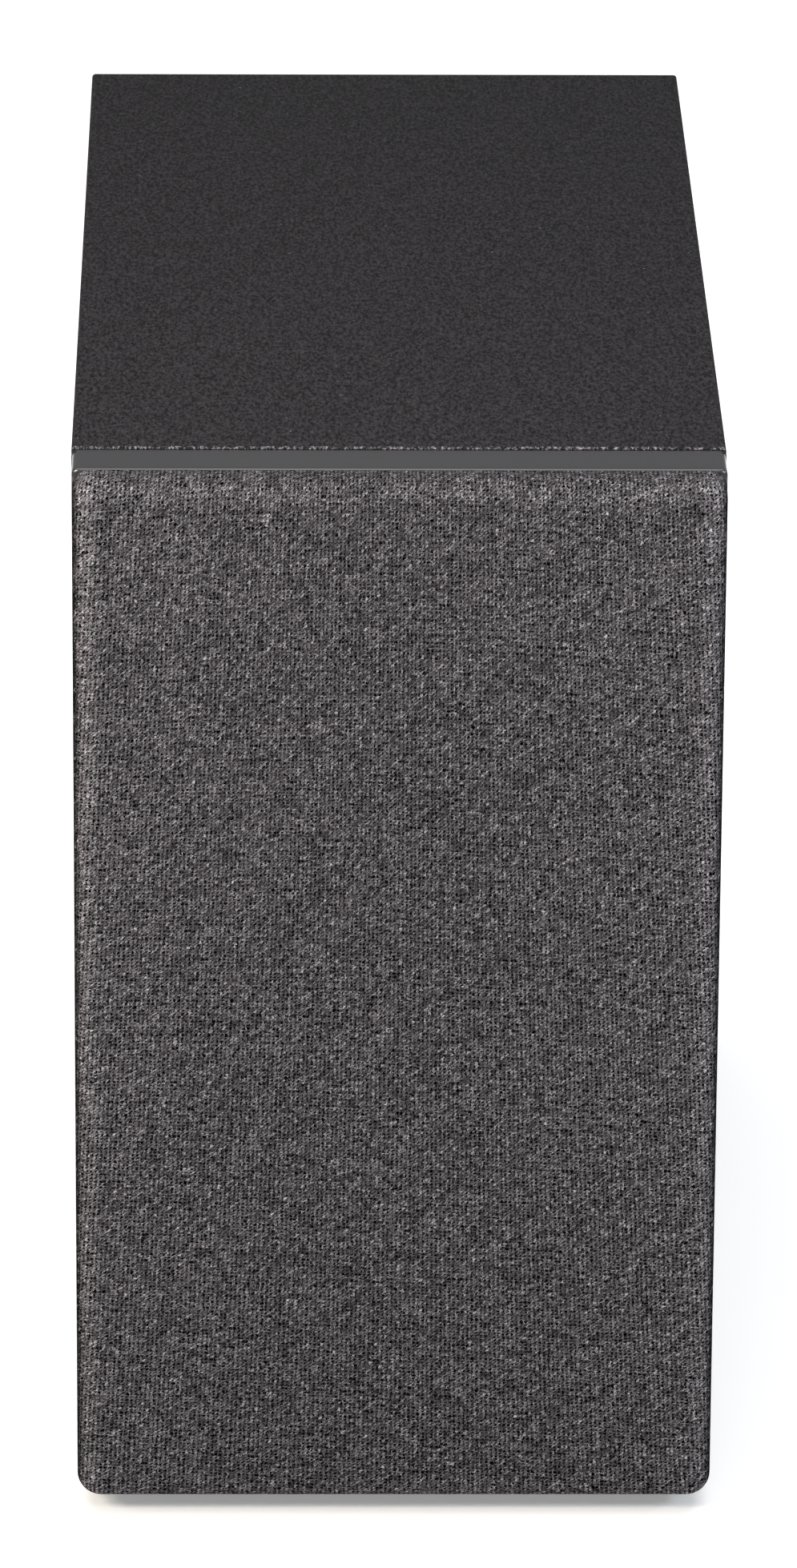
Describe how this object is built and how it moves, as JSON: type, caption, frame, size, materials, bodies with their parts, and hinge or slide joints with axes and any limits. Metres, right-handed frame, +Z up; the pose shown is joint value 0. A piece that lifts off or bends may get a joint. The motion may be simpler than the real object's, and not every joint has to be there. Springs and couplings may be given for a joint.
{
  "type": "soundbar subwoofer",
  "caption": "Upright wireless bass cabinet of a soundbar set: vinyl-wrapped box, satin baffle, pull-off cloth grille, front woofer and port, amplifier plate behind.",
  "frame": {"origin": "on the floor, centre of the overall box in plan, at the underside of the rubber feet", "axes": "+Z up, +X to the right as seen from the front, the grille looks along -Y and the amplifier plate along +Y"},
  "size_m": [0.17, 0.358, 0.295],
  "materials": {
    "vinyl": "charcoal vinyl film with a fine sanded grain, wrapped round the box",
    "mdf": "raw fibreboard, black where it shows at the back",
    "satin_paint": "fibreboard baffle under smooth satin dark grey lacquer",
    "grille_knit": "open warp-knit acoustic cloth, charcoal, stretched over the frame",
    "black_plastic": "moulded black plastic, fine matt texture",
    "black_rubber": "black rubber",
    "black_steel": "pressed steel under black powder coat",
    "zinc_steel": "zinc-plated steel",
    "ferrite": "sintered ferrite, dark grey",
    "cone_paper": "pressed black paper pulp",
    "spider_cloth": "corrugated resin-stiffened cloth",
    "felt": "grey needle felt",
    "gasket_foam": "black closed-cell foam",
    "copper": "enamelled copper winding",
    "aluminium": "plain aluminium",
    "circuit_board": "green glass-fibre board",
    "led_lens": "clear light guide, unlit"
  },
  "bodies": {
    "cabinet": {"vinyl_wrap": "vinyl", "left_panel": "mdf", "right_panel": "mdf", "top_panel": "mdf", "bottom_panel": "mdf", "rear_panel": "mdf", "window_brace": "mdf", "front_baffle": "satin_paint", "port_tube": "black_plastic", "terminal_strip": "black_plastic", "capacitor_1": "black_plastic", "capacitor_2": "black_plastic", "mains_inlet": "black_plastic", "tact_switch": "black_plastic", "speaker_lead": "black_plastic", "grille_socket_1": "black_rubber", "grille_socket_2": "black_rubber", "grille_socket_3": "black_rubber", "grille_socket_4": "black_rubber", "woofer_gasket": "black_rubber", "cone_surround": "black_rubber", "foot_1": "black_rubber", "foot_2": "black_rubber", "foot_3": "black_rubber", "foot_4": "black_rubber", "woofer_basket": "black_steel", "amp_plate": "black_steel", "woofer_screw_1": "black_steel", "woofer_screw_2": "black_steel", "woofer_screw_3": "black_steel", "woofer_screw_4": "black_steel", "plate_screw_1": "black_steel", "plate_screw_2": "black_steel", "plate_screw_3": "black_steel", "plate_screw_4": "black_steel", "plate_screw_5": "black_steel", "plate_screw_6": "black_steel", "top_plate": "zinc_steel", "yoke": "zinc_steel", "inlet_pin_1": "zinc_steel", "inlet_pin_2": "zinc_steel", "wireless_module": "zinc_steel", "magnet": "ferrite", "spider": "spider_cloth", "left_felt_pad": "felt", "right_felt_pad": "felt", "amp_gasket": "gasket_foam", "power_transformer": "copper", "heat_sink": "aluminium", "main_board": "circuit_board", "control_board": "circuit_board", "led_lens": "led_lens"},
    "grille": {"grille_frame": "black_plastic", "grille_cloth": "grille_knit"},
    "cone_assembly": {"woofer_cone": "cone_paper", "dust_cap": "cone_paper", "coil_former": "aluminium", "voice_coil": "copper"},
    "button": {"pairing_button": "black_plastic"}
  },
  "joints": [
    {"name": "grille_pull_off", "type": "slide", "parent": "cabinet", "child": "grille", "axis": [0, -1, 0], "range_m": [0, 0.1]},
    {"name": "cone_travel", "type": "slide", "parent": "cabinet", "child": "cone_assembly", "axis": [0, -1, 0], "range_m": [-0.005, 0.005], "stiffness_N_per_m": 1200, "deforming": ["cone_surround", "spider"]},
    {"name": "pairing_press", "type": "slide", "parent": "cabinet", "child": "button", "axis": [0, -1, 0], "range_m": [0, 0.0008], "stiffness_N_per_m": 1500}
  ]
}
